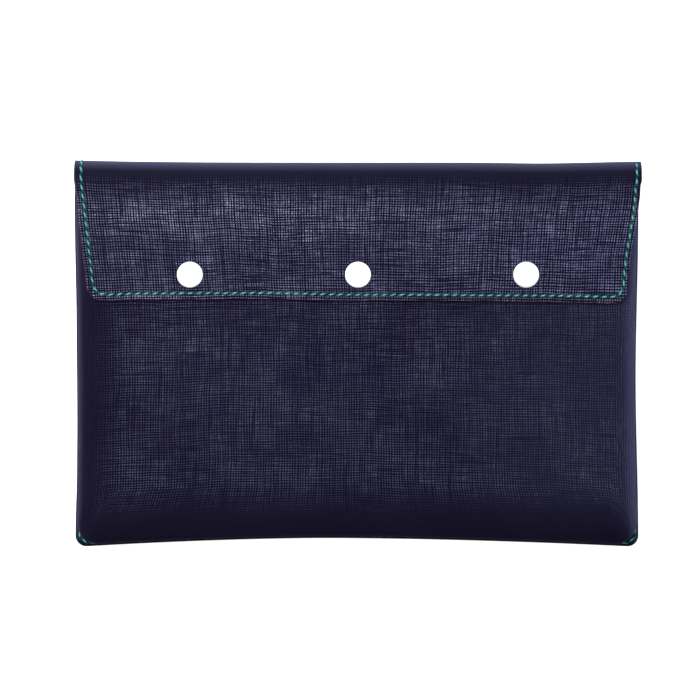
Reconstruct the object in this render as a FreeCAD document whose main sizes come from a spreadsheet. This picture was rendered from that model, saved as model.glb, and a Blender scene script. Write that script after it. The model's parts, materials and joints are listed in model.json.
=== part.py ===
"""Flat envelope bag for carrying cash to the bank, closed by a flap with three snaps.

The bag lies on its back: +X is its width, +Y runs from its bottom edge to the fold at its top,
and +Z points up out of its front.  The origin is the middle of its footprint, on the surface
it lies on.  All lengths are in millimetres.

One leather cut makes the back, the fold and the flap.  It is divided here at three bending
lines, so that the flap rolls open round the fold as the leather does.  The front is a shallow
tray of leather whose flange is sewn to the back along both sides and the bottom.
"""
import FreeCAD, Part
import math
import os
from collections import namedtuple

import Sketcher

SIZES = {
    # outline of the sewn body
    "seam_half_width": 134.4,
    "corner_y": -92.735,
    "arch_rise": 3.6,
    "flange_corner": 5.0,
    "mouth_y": 77.7,
    # layers
    "leather": 1.4,
    "lining": 0.4,
    "board": 0.6,
    "board_margin": 7.0,
    "board_play": 0.2,
    "glue_gap": 0.05,
    # front tray
    "front_top": 12.8,
    "bulge_inset": 0.8,
    "bulge_height": 7.0,
    "shoulder": 5.8,
    "foot_radius": 3.73,
    "foot_inset": 3.0,
    "flange_width": 4.4,
    "tray_corner": 6.0,
    # fold
    "thickness": 18.2,
    "fold_half_width": 135.0,
    "fold_centre_y": 82.435,
    "fold_turn": 60.0,
    "bend_gap": 0.15,
    "lining_bend_gap": 0.4,
    # flap
    "flap_edge_y": 24.7,
    "flap_edge_half_width": 128.4,
    "flap_taper_y": 75.7,
    "flap_corner": 7.5,
    # stitching
    "thread": 0.8,
    "thread_rise": 0.3,
    "flap_stitch_inset": 2.0,
    "seam_stitch_inset": 1.2,
    "seam_stitch_corner": 8.0,
    "mouth_stitch_inset": 2.5,
    # snaps
    "snap_spacing": 80.0,
    "snap_y": 36.7,
    "cap_radius": 6.2,
    "cap_rim": 0.35,
    "cap_rise": 1.5,
    "post_radius": 1.2,
    "post_hole": 1.3,
    "post_head_radius": 1.6,
    "post_head": 0.45,
    "plate_radius": 5.35,
    "socket_depth": 2.4,
    "socket_floor": 0.5,
    "socket_bore": 2.9,
    "stud_plate": 0.8,
    "stud_radius": 2.3,
    "stud_rise": 1.6,
    "stud_recess": 1.75,
    "base_thickness": 1.0,
    "base_rim": 0.5,
}

STRIPS = (1, 2)
SNAP_SIDES = {"left": -1, "centre": 0, "right": 1}
START, END, CENTRE = 1, 2, 3
X_AXIS, Y_AXIS = -1, -2
UP = FreeCAD.Vector(0, 0, 1)

# A corner of an outline.  When radius is given, the edge that leaves it is an arc, which
# turns left (1) or right (-1).
Corner = namedtuple("Corner", "x y radius turn", defaults=(None, 0))

# expressions that several sub-parts share
ARCH_RADIUS = "((Sizes.seam_half_width^2 + Sizes.arch_rise^2) / (2 * Sizes.arch_rise))"
ARCH_CENTRE = f"(Sizes.corner_y + Sizes.arch_rise - {ARCH_RADIUS})"
BEND_Y = "(Sizes.fold_centre_y + Sizes.strip_chord / 2)"
FRONT_LINING_FLOOR = "Sizes.leather + Sizes.lining"
FRONT_FLANGE_FLOOR = "Sizes.leather + 2 * Sizes.lining"
FRONT_FLANGE_TOP = "2 * Sizes.leather + 2 * Sizes.lining"
FLAP_FLOOR = "Sizes.thickness - Sizes.leather"
FLAP_LINING_FLOOR = "Sizes.thickness - Sizes.leather - Sizes.lining"
TRAY_INSET = "(Sizes.bulge_inset + Sizes.shoulder)"
FOOT_COS = "((Sizes.foot_radius - Sizes.foot_inset + Sizes.bulge_inset) / Sizes.foot_radius)"
FOOT_SIN = f"sqrt(1 - {FOOT_COS}^2)"

doc = FreeCAD.newDocument("deposit_bag")
sheet = doc.addObject("Spreadsheet::Sheet", "Sizes")


def fill_sheet():
    """Write every driving size into the sheet under its name."""
    rise = SIZES["thickness"] - 2 * SIZES["leather"]
    chord = rise / sum(math.sin(math.radians(SIZES["fold_turn"] * k)) for k in STRIPS)
    rows = dict(SIZES, strip_chord=round(chord, 4))
    for row, (alias, value) in enumerate(rows.items(), start=1):
        sheet.set(f"A{row}", alias)
        sheet.set(f"B{row}", str(value))
        sheet.setAlias(f"B{row}", alias)
    doc.recompute()


def size(expression):
    """The number that an expression in the sheet's names comes to."""
    return float(sheet.evalExpression(expression))


# ---------------------------------------------------------------- sketches and features


def new_body(name):
    body = doc.addObject("PartDesign::Body", name)
    body.Label = name
    return body


def new_sketch(body, name, role="XY_Plane", offset=None):
    """A sketch on one of the body's own planes, moved along the plane's normal by offset."""
    sketch = body.newObject("Sketcher::SketchObject", f"{body.Name}_{name}")
    plane = [item for item in body.Origin.OriginFeatures if item.Role == role][0]
    sketch.AttachmentSupport = [(plane, "")]
    sketch.MapMode = "FlatFace"
    if offset:
        sketch.setExpression("AttachmentOffset.Base.z", offset)
    return sketch


def bind(sketch, kind, places, expression):
    """Add a dimension and drive it from the sheet."""
    index = sketch.addConstraint(Sketcher.Constraint(kind, *places, size(expression)))
    sketch.setExpression(f"Constraints[{index}]", expression)


def pin_point(sketch, edge, end, x, y):
    """Hold one end of an edge at a place given by two expressions."""
    for kind, axis, expression in (("DistanceX", Y_AXIS, x), ("DistanceY", X_AXIS, y)):
        if expression == "0":
            sketch.addConstraint(Sketcher.Constraint("PointOnObject", edge, end, axis))
        else:
            bind(sketch, kind, (X_AXIS, START, edge, end), expression)


def arc_between(start, finish, radius, turn):
    """The shorter arc from start to finish that turns left or right."""
    chord = finish - start
    reach = math.sqrt(radius**2 - (chord.Length / 2) ** 2)
    aside = FreeCAD.Vector(-chord.y, chord.x, 0).normalize() * reach * turn
    centre = (start + finish) / 2 + aside
    ends = (start, finish) if turn > 0 else (finish, start)
    angles = [math.atan2(end.y - centre.y, end.x - centre.x) for end in ends]
    if angles[1] < angles[0]:
        angles[1] += 2 * math.pi
    return Part.ArcOfCircle(Part.Circle(centre, UP, radius), *angles)


def draw(sketch, corners, closed=True):
    """Draw an outline whose corners all lie where their expressions say."""
    points = [FreeCAD.Vector(size(corner.x), size(corner.y), 0) for corner in corners]
    count = len(corners) if closed else len(corners) - 1
    edges = []
    for index in range(count):
        corner = corners[index]
        start, finish = points[index], points[(index + 1) % len(points)]
        if corner.radius is None:
            edge = sketch.addGeometry(Part.LineSegment(start, finish))
            edges.append((edge, START, END))
        else:
            arc = arc_between(start, finish, size(corner.radius), corner.turn)
            edge = sketch.addGeometry(arc)
            edges.append((edge, START, END) if corner.turn > 0 else (edge, END, START))
    for index, (edge, start, _) in enumerate(edges):
        corner = corners[index]
        pin_point(sketch, edge, start, corner.x, corner.y)
        if corner.radius is not None:
            bind(sketch, "Radius", (edge,), corner.radius)
        if index:
            before, _, finish = edges[index - 1]
            sketch.addConstraint(
                Sketcher.Constraint("Coincident", before, finish, edge, start)
            )
    last, _, finish = edges[-1]
    if closed:
        first, start, _ = edges[0]
        sketch.addConstraint(Sketcher.Constraint("Coincident", last, finish, first, start))
    else:
        pin_point(sketch, last, finish, corners[-1].x, corners[-1].y)


def backwards(corners):
    """The same run of edges, followed from its other end."""
    ahead = [Corner(corner.x, corner.y) for corner in reversed(corners)]
    edges = [(corner.radius, -corner.turn) for corner in reversed(corners[:-1])]
    return [
        corner._replace(radius=radius, turn=turn)
        for corner, (radius, turn) in zip(ahead, edges + [(None, 0)])
    ]


def snap_place(side):
    """Expressions for the middle of one snap."""
    return (f"{side} * Sizes.snap_spacing" if side else "0"), "Sizes.snap_y"


def drill_snap_holes(sketch):
    """Three round holes for the snaps' posts."""
    for side in SNAP_SIDES.values():
        x, y = snap_place(side)
        centre = FreeCAD.Vector(size(x), size(y), 0)
        hole = sketch.addGeometry(Part.Circle(centre, UP, size("Sizes.post_hole")))
        pin_point(sketch, hole, CENTRE, x, y)
        bind(sketch, "Radius", (hole,), "Sizes.post_hole")


def pad(body, name, corners, floor, thickness, holes=False):
    """A flat layer that rises from floor."""
    sketch = new_sketch(body, name, offset=floor)
    draw(sketch, corners)
    if holes:
        drill_snap_holes(sketch)
    feature = body.newObject("PartDesign::Pad", f"{sketch.Name}_pad")
    feature.Profile = sketch
    feature.setExpression("Length", thickness)
    doc.recompute()


def pocket(body, name, corners, opening, depth, upwards=False):
    """A recess, which has to take material away."""
    before = body.Shape.Volume
    sketch = new_sketch(body, name, offset=opening)
    draw(sketch, corners)
    feature = body.newObject("PartDesign::Pocket", f"{sketch.Name}_pocket")
    feature.Profile = sketch
    feature.setExpression("Length", depth)
    feature.Reversed = upwards
    doc.recompute()
    if body.Shape.Volume >= before:
        raise RuntimeError(f"{feature.Name} cuts nothing")


# ---------------------------------------------------------------- outlines


def body_run(inset, radius):
    """Down the left side, along the arched bottom and up the right side to the mouth."""
    half = f"(Sizes.seam_half_width - {inset})"
    arch = f"({ARCH_RADIUS} + {inset})"
    corner_x = f"({half} - {radius})"
    corner_rise = f"sqrt(({arch} + {radius})^2 - {corner_x}^2)"
    corner_y = f"({ARCH_CENTRE} + {corner_rise})"
    share = f"{arch} / ({arch} + {radius})"
    arch_x = f"{corner_x} * {share}"
    arch_y = f"{ARCH_CENTRE} + {corner_rise} * {share}"
    return [
        Corner(f"-{half}", "Sizes.mouth_y"),
        Corner(f"-{half}", corner_y, radius, 1),
        Corner(f"-({arch_x})", arch_y, arch, -1),
        Corner(arch_x, arch_y, radius, 1),
        Corner(half, corner_y),
        Corner(half, "Sizes.mouth_y"),
    ]


def body_outline(inset, radius, top="Sizes.mouth_y"):
    """The sewn body's outline, closed by a straight edge at the top."""
    run = body_run(inset, radius)
    return [run[0]._replace(y=top), *run[1:-1], run[-1]._replace(y=top)]


def body_band(outer, outer_radius, inner, inner_radius):
    """A band that follows both sides and the bottom."""
    return body_run(outer, outer_radius) + backwards(body_run(inner, inner_radius))


def flap_run(inset):
    """Down the flap's left side, along its lower edge and up its right side."""
    half = "Sizes.fold_half_width"
    lean = f"atan(({half} - Sizes.flap_edge_half_width) / (Sizes.flap_taper_y - Sizes.flap_edge_y))"
    edge_y = f"(Sizes.flap_edge_y + {inset})"
    taper_y = f"(Sizes.flap_taper_y + {inset} * tan({lean} / 2))"
    drop = f"({edge_y} - Sizes.flap_taper_y)"
    edge_x = f"({half} - ({inset} - {drop} * sin({lean})) / cos({lean}))"
    radius = f"(Sizes.flap_corner - {inset})"
    reach = f"({radius} * tan(45 deg - {lean} / 2))"
    side_x = f"({edge_x} + {reach} * sin({lean}))"
    side_y = f"({edge_y} + {reach} * cos({lean}))"
    lower_x = f"({edge_x} - {reach})"
    top = f"{BEND_Y} - Sizes.bend_gap"
    return [
        Corner(f"-({half} - {inset})", top),
        Corner(f"-({half} - {inset})", taper_y),
        Corner(f"-{side_x}", side_y, radius, 1),
        Corner(f"-{lower_x}", edge_y),
        Corner(lower_x, edge_y, radius, 1),
        Corner(side_x, side_y),
        Corner(f"{half} - {inset}", taper_y),
        Corner(f"{half} - {inset}", top),
    ]


def flap_outline(inset, top_gap):
    run = flap_run(inset)
    top = f"{BEND_Y} - {top_gap}"
    return [run[0]._replace(y=top), *run[1:-1], run[-1]._replace(y=top)]


# ---------------------------------------------------------------- back and fold


def make_back():
    """Back leather with a recess for its board, the board, and the lining that covers it."""
    leather = new_body("back_panel")
    outline = body_outline("0", "Sizes.flange_corner", f"{BEND_Y} - Sizes.bend_gap")
    pad(leather, "outline", outline, "0", "Sizes.leather")
    recess_top = "Sizes.mouth_y - Sizes.bend_gap"
    recess = body_outline("Sizes.board_margin", "Sizes.flange_corner", recess_top)
    pocket(leather, "recess", recess, "Sizes.leather", "Sizes.board")

    board = new_body("back_stiffener")
    margin = "(Sizes.board_margin + Sizes.board_play)"
    outline = body_outline(margin, "Sizes.flange_corner", f"{recess_top} - Sizes.board_play")
    pad(board, "outline", outline, "Sizes.leather - Sizes.board", "Sizes.board")

    lining = new_body("back_lining")
    outline = body_outline("0", "Sizes.flange_corner", f"{BEND_Y} - Sizes.lining_bend_gap")
    pad(lining, "outline", outline, "Sizes.leather", "Sizes.lining")


def fold_layer(name, strip, thickness, gap, outwards):
    """One straight strip of the fold, on the outer or the inner side of its bending lines."""
    box = doc.addObject("Part::Box", name)
    box.Label = name
    box.setExpression("Length", "2 * Sizes.fold_half_width")
    box.setExpression("Width", f"Sizes.strip_chord - 2 * {gap}")
    box.setExpression("Height", thickness)
    tilt = size("Sizes.fold_turn") * strip
    chord = size("Sizes.strip_chord")
    start_y = size(BEND_Y)
    start_z = size("Sizes.leather")
    for earlier in range(1, strip):
        angle = math.radians(size("Sizes.fold_turn") * earlier)
        start_y += chord * math.cos(angle)
        start_z += chord * math.sin(angle)
    along = FreeCAD.Vector(0, math.cos(math.radians(tilt)), math.sin(math.radians(tilt)))
    inwards = FreeCAD.Vector(0, -along.z, along.y)
    corner = FreeCAD.Vector(-size("Sizes.fold_half_width"), start_y, start_z)
    corner = corner + along * size(gap)
    if outwards:
        corner = corner - inwards * size(thickness)
    turn = FreeCAD.Rotation(FreeCAD.Vector(1, 0, 0), tilt)
    box.Placement = FreeCAD.Placement(corner, turn)


def make_fold():
    """Two leather strips round the fold, each with its strip of lining."""
    for strip in STRIPS:
        fold_layer(f"fold_leather_{strip}", strip, "Sizes.leather", "Sizes.bend_gap", True)
        fold_layer(f"fold_lining_{strip}", strip, "Sizes.lining", "Sizes.lining_bend_gap", False)


# ---------------------------------------------------------------- front tray


def wall_section(outside, inside, foot_inset, foot_width, foot_floor, knee=None):
    """Section through the tray's left wall, between two offsets from its outer face.

    The wall is two arcs that meet where it bulges furthest.  It stands on a foot, whose
    lower part is upright below the height of its knee.
    """

    def across(inset):
        return f"-(Sizes.seam_half_width - ({inset}))"

    def shoulder_arc(offset):
        return f"(Sizes.shoulder - {offset})"

    def foot_arc(offset):
        return f"(Sizes.foot_radius - {offset})"

    def foot_end(offset):
        inset = f"Sizes.bulge_inset + Sizes.foot_radius - {foot_arc(offset)} * {FOOT_COS}"
        return across(inset), f"Sizes.bulge_height - {foot_arc(offset)} * {FOOT_SIN}"

    def bulge(offset):
        return across(f"Sizes.bulge_inset + {offset}"), "Sizes.bulge_height"

    def crest(offset):
        return across(TRAY_INSET), f"Sizes.bulge_height + {shoulder_arc(offset)}"

    heights = [knee, foot_floor] if knee else [foot_floor]
    outer_foot = [Corner(across(foot_inset), height) for height in heights]
    inner_foot = [Corner(across(f"{foot_inset} + {foot_width}"), height) for height in heights]
    return [
        Corner(*crest(outside), shoulder_arc(outside), 1),
        Corner(*bulge(outside), foot_arc(outside), 1),
        Corner(*foot_end(outside)),
        *outer_foot,
        *reversed(inner_foot),
        Corner(*foot_end(inside), foot_arc(inside), -1),
        Corner(*bulge(inside), shoulder_arc(inside), -1),
        Corner(*crest(inside)),
    ]


def make_tray(name, section, flange_floor, layer, outside, flange_inset):
    """A tray with a flange, a bulging wall and a flat top that is open at the mouth."""
    body = new_body(name)
    top = body_outline(TRAY_INSET, "Sizes.tray_corner")
    top_floor = f"Sizes.front_top - {outside} - {layer}"
    pad(body, "top", top, top_floor, layer, holes=True)

    path = new_sketch(body, "path")
    draw(path, body_run(TRAY_INSET, "Sizes.tray_corner"), closed=False)
    profile = new_sketch(body, "wall", role="XZ_Plane", offset="-Sizes.mouth_y")
    draw(profile, section)
    wall = body.newObject("PartDesign::AdditivePipe", f"{name}_wall_pipe")
    wall.Profile = profile
    wall.Spine = path
    doc.recompute()

    band = body_band("0", "Sizes.flange_corner", flange_inset, "Sizes.tray_corner")
    pad(body, "flange", band, flange_floor, layer)


def make_front():
    leather = wall_section(
        "0",
        "Sizes.leather",
        "Sizes.foot_inset",
        "(Sizes.flange_width - Sizes.foot_inset)",
        FRONT_FLANGE_TOP,
    )
    make_tray(
        "front_panel", leather, FRONT_FLANGE_FLOOR, "Sizes.leather", "0", "Sizes.flange_width"
    )
    outside = "(Sizes.leather + Sizes.glue_gap)"
    lining = wall_section(
        outside,
        f"({outside} + Sizes.lining)",
        "(Sizes.flange_width + Sizes.glue_gap)",
        "Sizes.lining",
        FRONT_FLANGE_FLOOR,
        knee=FRONT_FLANGE_TOP,
    )
    flange_inset = "(Sizes.flange_width + Sizes.glue_gap + Sizes.lining)"
    make_tray(
        "front_lining", lining, FRONT_LINING_FLOOR, "Sizes.lining", outside, flange_inset
    )


# ---------------------------------------------------------------- flap


def make_flap():
    """Flap leather with a recess for its board, the board, and the lining under it."""
    leather = new_body("flap_panel")
    outline = flap_outline("0", "Sizes.bend_gap")
    pad(leather, "outline", outline, FLAP_FLOOR, "Sizes.leather", holes=True)
    recess_gap = "Sizes.board_margin"
    recess = flap_outline("Sizes.board_margin", recess_gap)
    pocket(leather, "recess", recess, FLAP_FLOOR, "Sizes.board", upwards=True)

    board = new_body("flap_stiffener")
    margin = "(Sizes.board_margin + Sizes.board_play)"
    outline = flap_outline(margin, margin)
    pad(board, "outline", outline, FLAP_FLOOR, "Sizes.board", holes=True)

    lining = new_body("flap_lining")
    outline = flap_outline("0", "Sizes.lining_bend_gap")
    pad(lining, "outline", outline, FLAP_LINING_FLOOR, "Sizes.lining", holes=True)


# ---------------------------------------------------------------- stitching


def make_stitching():
    """Thread of the three sewn rows, each as one low bead on the leather's face."""
    flap = new_body("flap_stitching")
    outer = flap_run("Sizes.flap_stitch_inset")
    inner = flap_run("(Sizes.flap_stitch_inset + Sizes.thread)")
    pad(flap, "row", outer + backwards(inner), "Sizes.thickness", "Sizes.thread_rise")

    seam = new_body("seam_stitching")
    inner_inset = "(Sizes.seam_stitch_inset + Sizes.thread)"
    inner_corner = "(Sizes.seam_stitch_corner - Sizes.thread)"
    row = body_band(
        "Sizes.seam_stitch_inset", "Sizes.seam_stitch_corner", inner_inset, inner_corner
    )
    pad(seam, "row", row, FRONT_FLANGE_TOP, "Sizes.thread_rise")

    mouth = doc.addObject("Part::Box", "mouth_stitching")
    mouth.Label = "mouth_stitching"
    half = f"(Sizes.seam_half_width - {TRAY_INSET})"
    mouth.setExpression("Length", f"2 * {half}")
    mouth.setExpression("Width", "Sizes.thread")
    mouth.setExpression("Height", "Sizes.thread_rise")
    mouth.setExpression("Placement.Base.x", f"-{half}")
    mouth.setExpression("Placement.Base.y", "Sizes.mouth_y - Sizes.mouth_stitch_inset")
    mouth.setExpression("Placement.Base.z", "Sizes.front_top")


# ---------------------------------------------------------------- snaps


def turned(name, side, corners):
    """A round piece, turned from its half section about the snap's upright axis."""
    body = new_body(name)
    sketch = new_sketch(body, "section", role="XZ_Plane")
    draw(sketch, corners)
    feature = body.newObject("PartDesign::Revolution", f"{name}_turned")
    feature.Profile = sketch
    feature.ReferenceAxis = (sketch, ["V_Axis"])
    feature.Angle = 360
    x, y = snap_place(side)
    body.Placement.Base = FreeCAD.Vector(size(x), size(y), 0)
    doc.recompute()


def cap_section():
    """Domed cap, with a post through the flap whose end is flattened in the socket."""
    head_top = f"{FLAP_LINING_FLOOR} - Sizes.socket_floor"
    rise = "(Sizes.cap_rise - Sizes.cap_rim)"
    dome = f"((Sizes.cap_radius^2 + {rise}^2) / (2 * {rise}))"
    return [
        Corner("0", f"{head_top} - Sizes.post_head"),
        Corner("Sizes.post_head_radius", f"{head_top} - Sizes.post_head"),
        Corner("Sizes.post_head_radius", head_top),
        Corner("Sizes.post_radius", head_top),
        Corner("Sizes.post_radius", "Sizes.thickness"),
        Corner("Sizes.cap_radius", "Sizes.thickness"),
        Corner("Sizes.cap_radius", "Sizes.thickness + Sizes.cap_rim", dome, 1),
        Corner("0", "Sizes.thickness + Sizes.cap_rise"),
    ]


def socket_section():
    """Round socket under the flap, open downwards."""
    top = FLAP_LINING_FLOOR
    bottom = f"{top} - Sizes.socket_depth"
    ceiling = f"{top} - Sizes.socket_floor"
    return [
        Corner("Sizes.post_hole", top),
        Corner("Sizes.post_hole", ceiling),
        Corner("Sizes.socket_bore", ceiling),
        Corner("Sizes.socket_bore", bottom),
        Corner("Sizes.plate_radius", bottom),
        Corner("Sizes.plate_radius", top),
    ]


def stud_section():
    """Plate on the front with a hollow stud that fits into the socket."""
    plate_top = "Sizes.front_top + Sizes.stud_plate"
    recess = f"{plate_top} - Sizes.stud_plate / 2"
    stud_top = f"{plate_top} + Sizes.stud_rise"
    return [
        Corner("Sizes.post_hole", "Sizes.front_top"),
        Corner("Sizes.plate_radius", "Sizes.front_top"),
        Corner("Sizes.plate_radius", plate_top),
        Corner("Sizes.stud_radius", plate_top),
        Corner("Sizes.stud_radius", stud_top),
        Corner("Sizes.stud_recess", stud_top),
        Corner("Sizes.stud_recess", recess),
        Corner("Sizes.post_hole", recess),
    ]


def base_section():
    """Inner cap behind the front, with a post whose end is flattened inside the stud."""
    under = "Sizes.front_top - Sizes.leather - Sizes.glue_gap - Sizes.lining"
    head_floor = "Sizes.front_top + Sizes.stud_plate / 2"
    head_top = f"{head_floor} + Sizes.post_head"
    fall = "(Sizes.base_thickness - Sizes.base_rim)"
    dome = f"((Sizes.cap_radius^2 + {fall}^2) / (2 * {fall}))"
    return [
        Corner("0", f"{under} - Sizes.base_thickness", dome, 1),
        Corner("Sizes.cap_radius", f"{under} - Sizes.base_rim"),
        Corner("Sizes.cap_radius", under),
        Corner("Sizes.post_radius", under),
        Corner("Sizes.post_radius", head_floor),
        Corner("Sizes.post_head_radius", head_floor),
        Corner("Sizes.post_head_radius", head_top),
        Corner("0", head_top),
    ]


def make_snaps():
    for place, side in SNAP_SIDES.items():
        turned(f"snap_cap_{place}", side, cap_section())
        turned(f"snap_socket_{place}", side, socket_section())
        turned(f"snap_stud_{place}", side, stud_section())
        turned(f"snap_base_{place}", side, base_section())


# ---------------------------------------------------------------- checks and files


def sub_parts():
    """The objects that are separate pieces of the bag."""
    return [
        item
        for item in doc.Objects
        if item.TypeId == "PartDesign::Body"
        or (item.isDerivedFrom("Part::Feature") and not item.getParentGeoFeatureGroup())
    ]


def check_and_export():
    doc.recompute()
    for item in doc.Objects:
        if "Invalid" in item.State or "Error" in item.State:
            raise RuntimeError(f"{item.Name} failed: {item.State}")
    os.makedirs("parts", exist_ok=True)
    for item in sub_parts():
        shape = item.Shape
        if shape.isNull() or not shape.isValid() or shape.Volume <= 0:
            raise RuntimeError(f"{item.Label} has no valid solid")
        shape.exportStep(f"parts/{item.Label}.step")
        box = shape.BoundBox
        print(
            f"{item.Label}: {len(shape.Solids)} solid, {shape.Volume:.0f} mm3, "
            f"x {box.XMin:.1f}..{box.XMax:.1f}, y {box.YMin:.2f}..{box.YMax:.2f}, "
            f"z {box.ZMin:.2f}..{box.ZMax:.2f}"
        )


fill_sheet()
make_back()
make_fold()
make_front()
make_flap()
make_stitching()
make_snaps()
check_and_export()
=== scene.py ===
"""Looks of the cash deposit bag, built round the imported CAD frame.

Lengths below are millimetres in the row frame, and become metres when a mesh is made.  One
flat leather cut makes the back, the fold and the flap.  It is drawn flat, with x across it
and v along it from the bottom seam to the flap's lower edge, and wrap() folds it.
"""

import json
import math

import bpy
import bmesh
import numpy as np
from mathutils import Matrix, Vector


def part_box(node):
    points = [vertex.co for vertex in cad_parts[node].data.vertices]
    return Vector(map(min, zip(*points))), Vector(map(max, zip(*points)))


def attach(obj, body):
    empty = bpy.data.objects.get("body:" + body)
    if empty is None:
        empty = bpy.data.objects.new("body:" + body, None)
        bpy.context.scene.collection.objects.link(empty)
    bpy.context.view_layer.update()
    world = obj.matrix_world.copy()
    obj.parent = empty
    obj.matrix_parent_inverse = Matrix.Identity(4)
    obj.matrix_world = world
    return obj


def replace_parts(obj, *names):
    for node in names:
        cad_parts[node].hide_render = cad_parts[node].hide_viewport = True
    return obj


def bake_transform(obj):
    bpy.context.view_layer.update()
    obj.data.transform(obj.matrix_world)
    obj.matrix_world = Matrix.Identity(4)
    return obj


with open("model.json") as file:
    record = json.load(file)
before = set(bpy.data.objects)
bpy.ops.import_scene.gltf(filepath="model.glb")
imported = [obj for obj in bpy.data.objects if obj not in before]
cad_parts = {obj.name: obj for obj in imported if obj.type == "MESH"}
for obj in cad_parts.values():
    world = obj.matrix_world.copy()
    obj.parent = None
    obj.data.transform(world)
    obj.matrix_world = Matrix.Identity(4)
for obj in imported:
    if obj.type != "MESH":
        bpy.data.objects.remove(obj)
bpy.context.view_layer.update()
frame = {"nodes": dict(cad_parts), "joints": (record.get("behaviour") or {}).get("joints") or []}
MM = 0.001


def box_mm(node):
    """Lowest and highest corner of a CAD node, in millimetres."""
    low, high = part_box(node)
    return np.array(low) / MM, np.array(high) / MM


BACK_LOW, BACK_HIGH = box_mm("back_panel")
LINING_LOW, LINING_HIGH = box_mm("back_lining")
FLAP_LOW, FLAP_HIGH = box_mm("flap_panel")
FRONT_LOW, FRONT_HIGH = box_mm("front_panel")
BENDS = np.array([joint["pos_m"] for joint in frame["joints"]]) / MM
TURN = math.radians(frame["joints"][0]["range_deg"][1])

LEATHER = BACK_HIGH[2] - BACK_LOW[2]
LINING = LINING_HIGH[2] - LINING_LOW[2]
GLUE = 0.02

# the fold is half a tube, whose middle lies level with the middle bend
FOLD_Z = BENDS[1][2]
FOLD_INNER = (BENDS[2][2] - BENDS[0][2]) / 2
FOLD_OUTER = FOLD_INNER + LEATHER
FOLD_Y = BENDS[0][1] - FOLD_INNER * math.tan(TURN / 2)
FOLD_RUN = math.pi * FOLD_OUTER

# the flat cut
CUT_HALF = FLAP_HIGH[0]
SEAM_HALF = BACK_HIGH[0]
SEAM_Y = BACK_LOW[1]
FLAP_START = FOLD_Y + FOLD_RUN
FLAP_LENGTH = FOLD_Y - FLAP_LOW[1]
CUT_END = FLAP_START + FLAP_LENGTH
BACK_LENGTH = FOLD_Y - SEAM_Y
SEAM_CORNER = 5.0
FLAP_CORNER = 7.5
FLAP_EDGE_HALF = 128.4
TAPER_Y = 82.0
EDGE_BULGE = 0.2

# the front tray, over the mouth of the bag
MOUTH_Y = FRONT_HIGH[1]
FRONT_TOP = FRONT_HIGH[2]
FLANGE_TOP = FRONT_LOW[2] + LEATHER
MOUTH_LENGTH = MOUTH_Y - SEAM_Y
FOOT_INSET = 2.9
BULGE_INSET = 0.7
BULGE_Z = 7.2
BULGE_CORNER = 11.5
SIDE_SHOULDER = 9.5
LOWER_SHOULDER = 25.0
CROWN = 1.6
FRONT_ON_HIDE = (0.0, 300.0)

# sewing
PITCH = 4.4
THREAD_RADIUS = 0.56
PLY_DEPTH, PLY_TWIST = 0.16, 3.6
FLAP_ROW_INSET = 2.9
FLAP_ROW_DRIFT = 0.5
SEAM_ROW_INSET = 1.3
MOUTH_ROW_INSET = 2.2
CHANNEL = 0.35
CHANNEL_REACH = 0.55
LOOP_STEPS = 2400

# steps along a leaf's side, round one of its corners and along its lower edge
SIDE_STEPS, TURN_STEPS, BASE_STEPS = 48, 8, 150
EDGE_STEPS = 8
RING_INSETS = (0.8, 1.2, 1.6, 2.0, 2.4, 2.8, 3.3, 4.2, 6.0, 9.0)
SNAPS = ("left", "centre", "right")


# ---------------------------------------------------------------- how the leather lies


def ease(share):
    """0 below 0, 1 above 1, and a smooth rise between them."""
    share = np.clip(share, 0, 1)
    return share * share * (3 - 2 * share)


def hill(value, middle, reach):
    """1 in the middle, and a smooth fall to nothing within about two reaches of it."""
    return np.exp(-(((value - middle) / reach) ** 2))


def ripple(x, y):
    """Slow unevenness of the leather, up to about a quarter of a millimetre."""
    return (
        0.09 * np.sin(0.047 * x + 0.031 * y + 0.4)
        + 0.07 * np.sin(-0.036 * x + 0.083 * y + 2.1)
        + 0.05 * np.sin(0.101 * x - 0.052 * y + 4.0)
        + 0.04 * np.sin(0.143 * x + 0.121 * y + 1.3)
    )


def settle_body(x, y):
    """The stuffed body draws its sides and its bottom edge in between the corners."""
    # the bottom edge arches up, most of all a little to the left of its middle
    peak_x, left_run, right_run = -15.0, 115.0, 145.0
    run = np.where(x < peak_x, left_run, right_run)
    arch = 4.0 * np.clip(1 - np.abs((x - peak_x) / run) ** 1.7, 0, None) - 0.45
    rise = arch * ease((45 - y) / 130)
    # how far each side moves to the right, which is inwards on the left side
    below_fold = ease((FOLD_Y + 3.6 - y) / 10)
    left = 0.42 * hill(y, -34, 36) - 0.45 * ease((-60 - y) / 25)
    left = left - (0.75 * ease((y - 15) / 50) + 0.3) * below_fold + 0.05
    right = 0.4 - 0.6 * below_fold - 1.4 * hill(y, -12, 50)
    return x + np.where(x < 0, left, right) * np.abs(x / SEAM_HALF) ** 3, y + rise


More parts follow.
